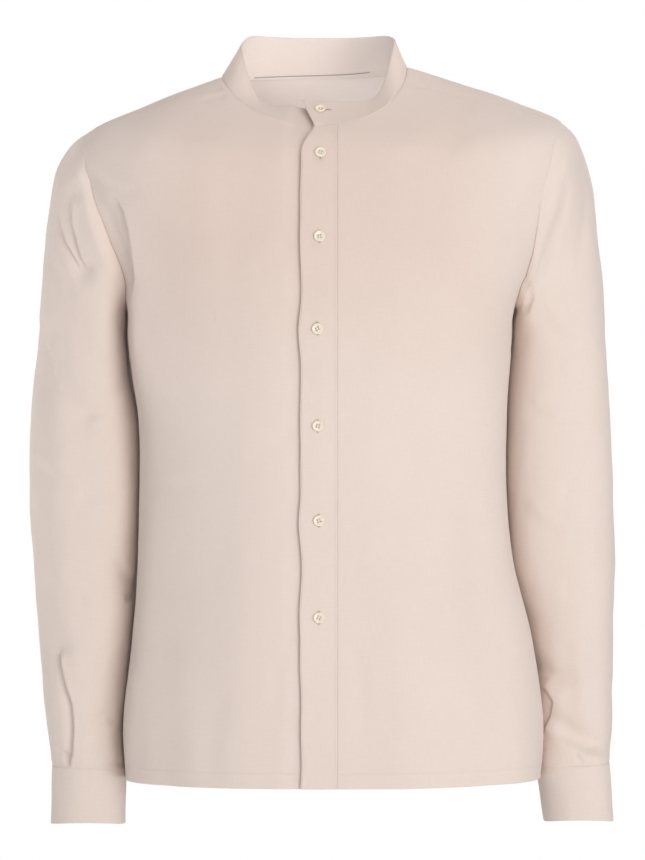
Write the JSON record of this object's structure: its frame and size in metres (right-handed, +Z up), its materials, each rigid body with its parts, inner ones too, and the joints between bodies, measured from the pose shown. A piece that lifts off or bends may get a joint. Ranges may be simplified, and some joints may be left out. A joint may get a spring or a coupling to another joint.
{
  "type": "mandarin collar shirt",
  "caption": "Long-sleeved shirt with a standing band collar, a buttoned front placket, a back yoke, straight hem and one-button cuffs, filled out as it is worn.",
  "frame": {"origin": "middle of the neck opening, level with the shoulders' neck points, where the wearer's neck and shoulders hold the shirt up", "axes": "+Z up, -Y out of the front, +X to the wearer's left"},
  "size_m": [0.5919, 0.2651, 0.7902],
  "materials": {
    "shirt_cloth": "smooth, matt plain weave in pale blush sand",
    "button_shell": "soft sheen, cream"
  },
  "bodies": {
    "root": {"front_right": "shirt_cloth", "front_left": "shirt_cloth", "placket_left": "shirt_cloth", "back": "shirt_cloth", "yoke": "shirt_cloth", "collar_band": "shirt_cloth", "sleeve_right": "shirt_cloth", "sleeve_left": "shirt_cloth", "sleeve_placket_right": "shirt_cloth", "sleeve_placket_left": "shirt_cloth", "cuff_right": "shirt_cloth", "cuff_left": "shirt_cloth", "button_1": "button_shell", "button_2": "button_shell", "button_3": "button_shell", "button_4": "button_shell", "button_5": "button_shell", "button_6": "button_shell", "button_7": "button_shell", "cuff_button_right": "button_shell", "cuff_button_left": "button_shell"}
  },
  "joints": []
}
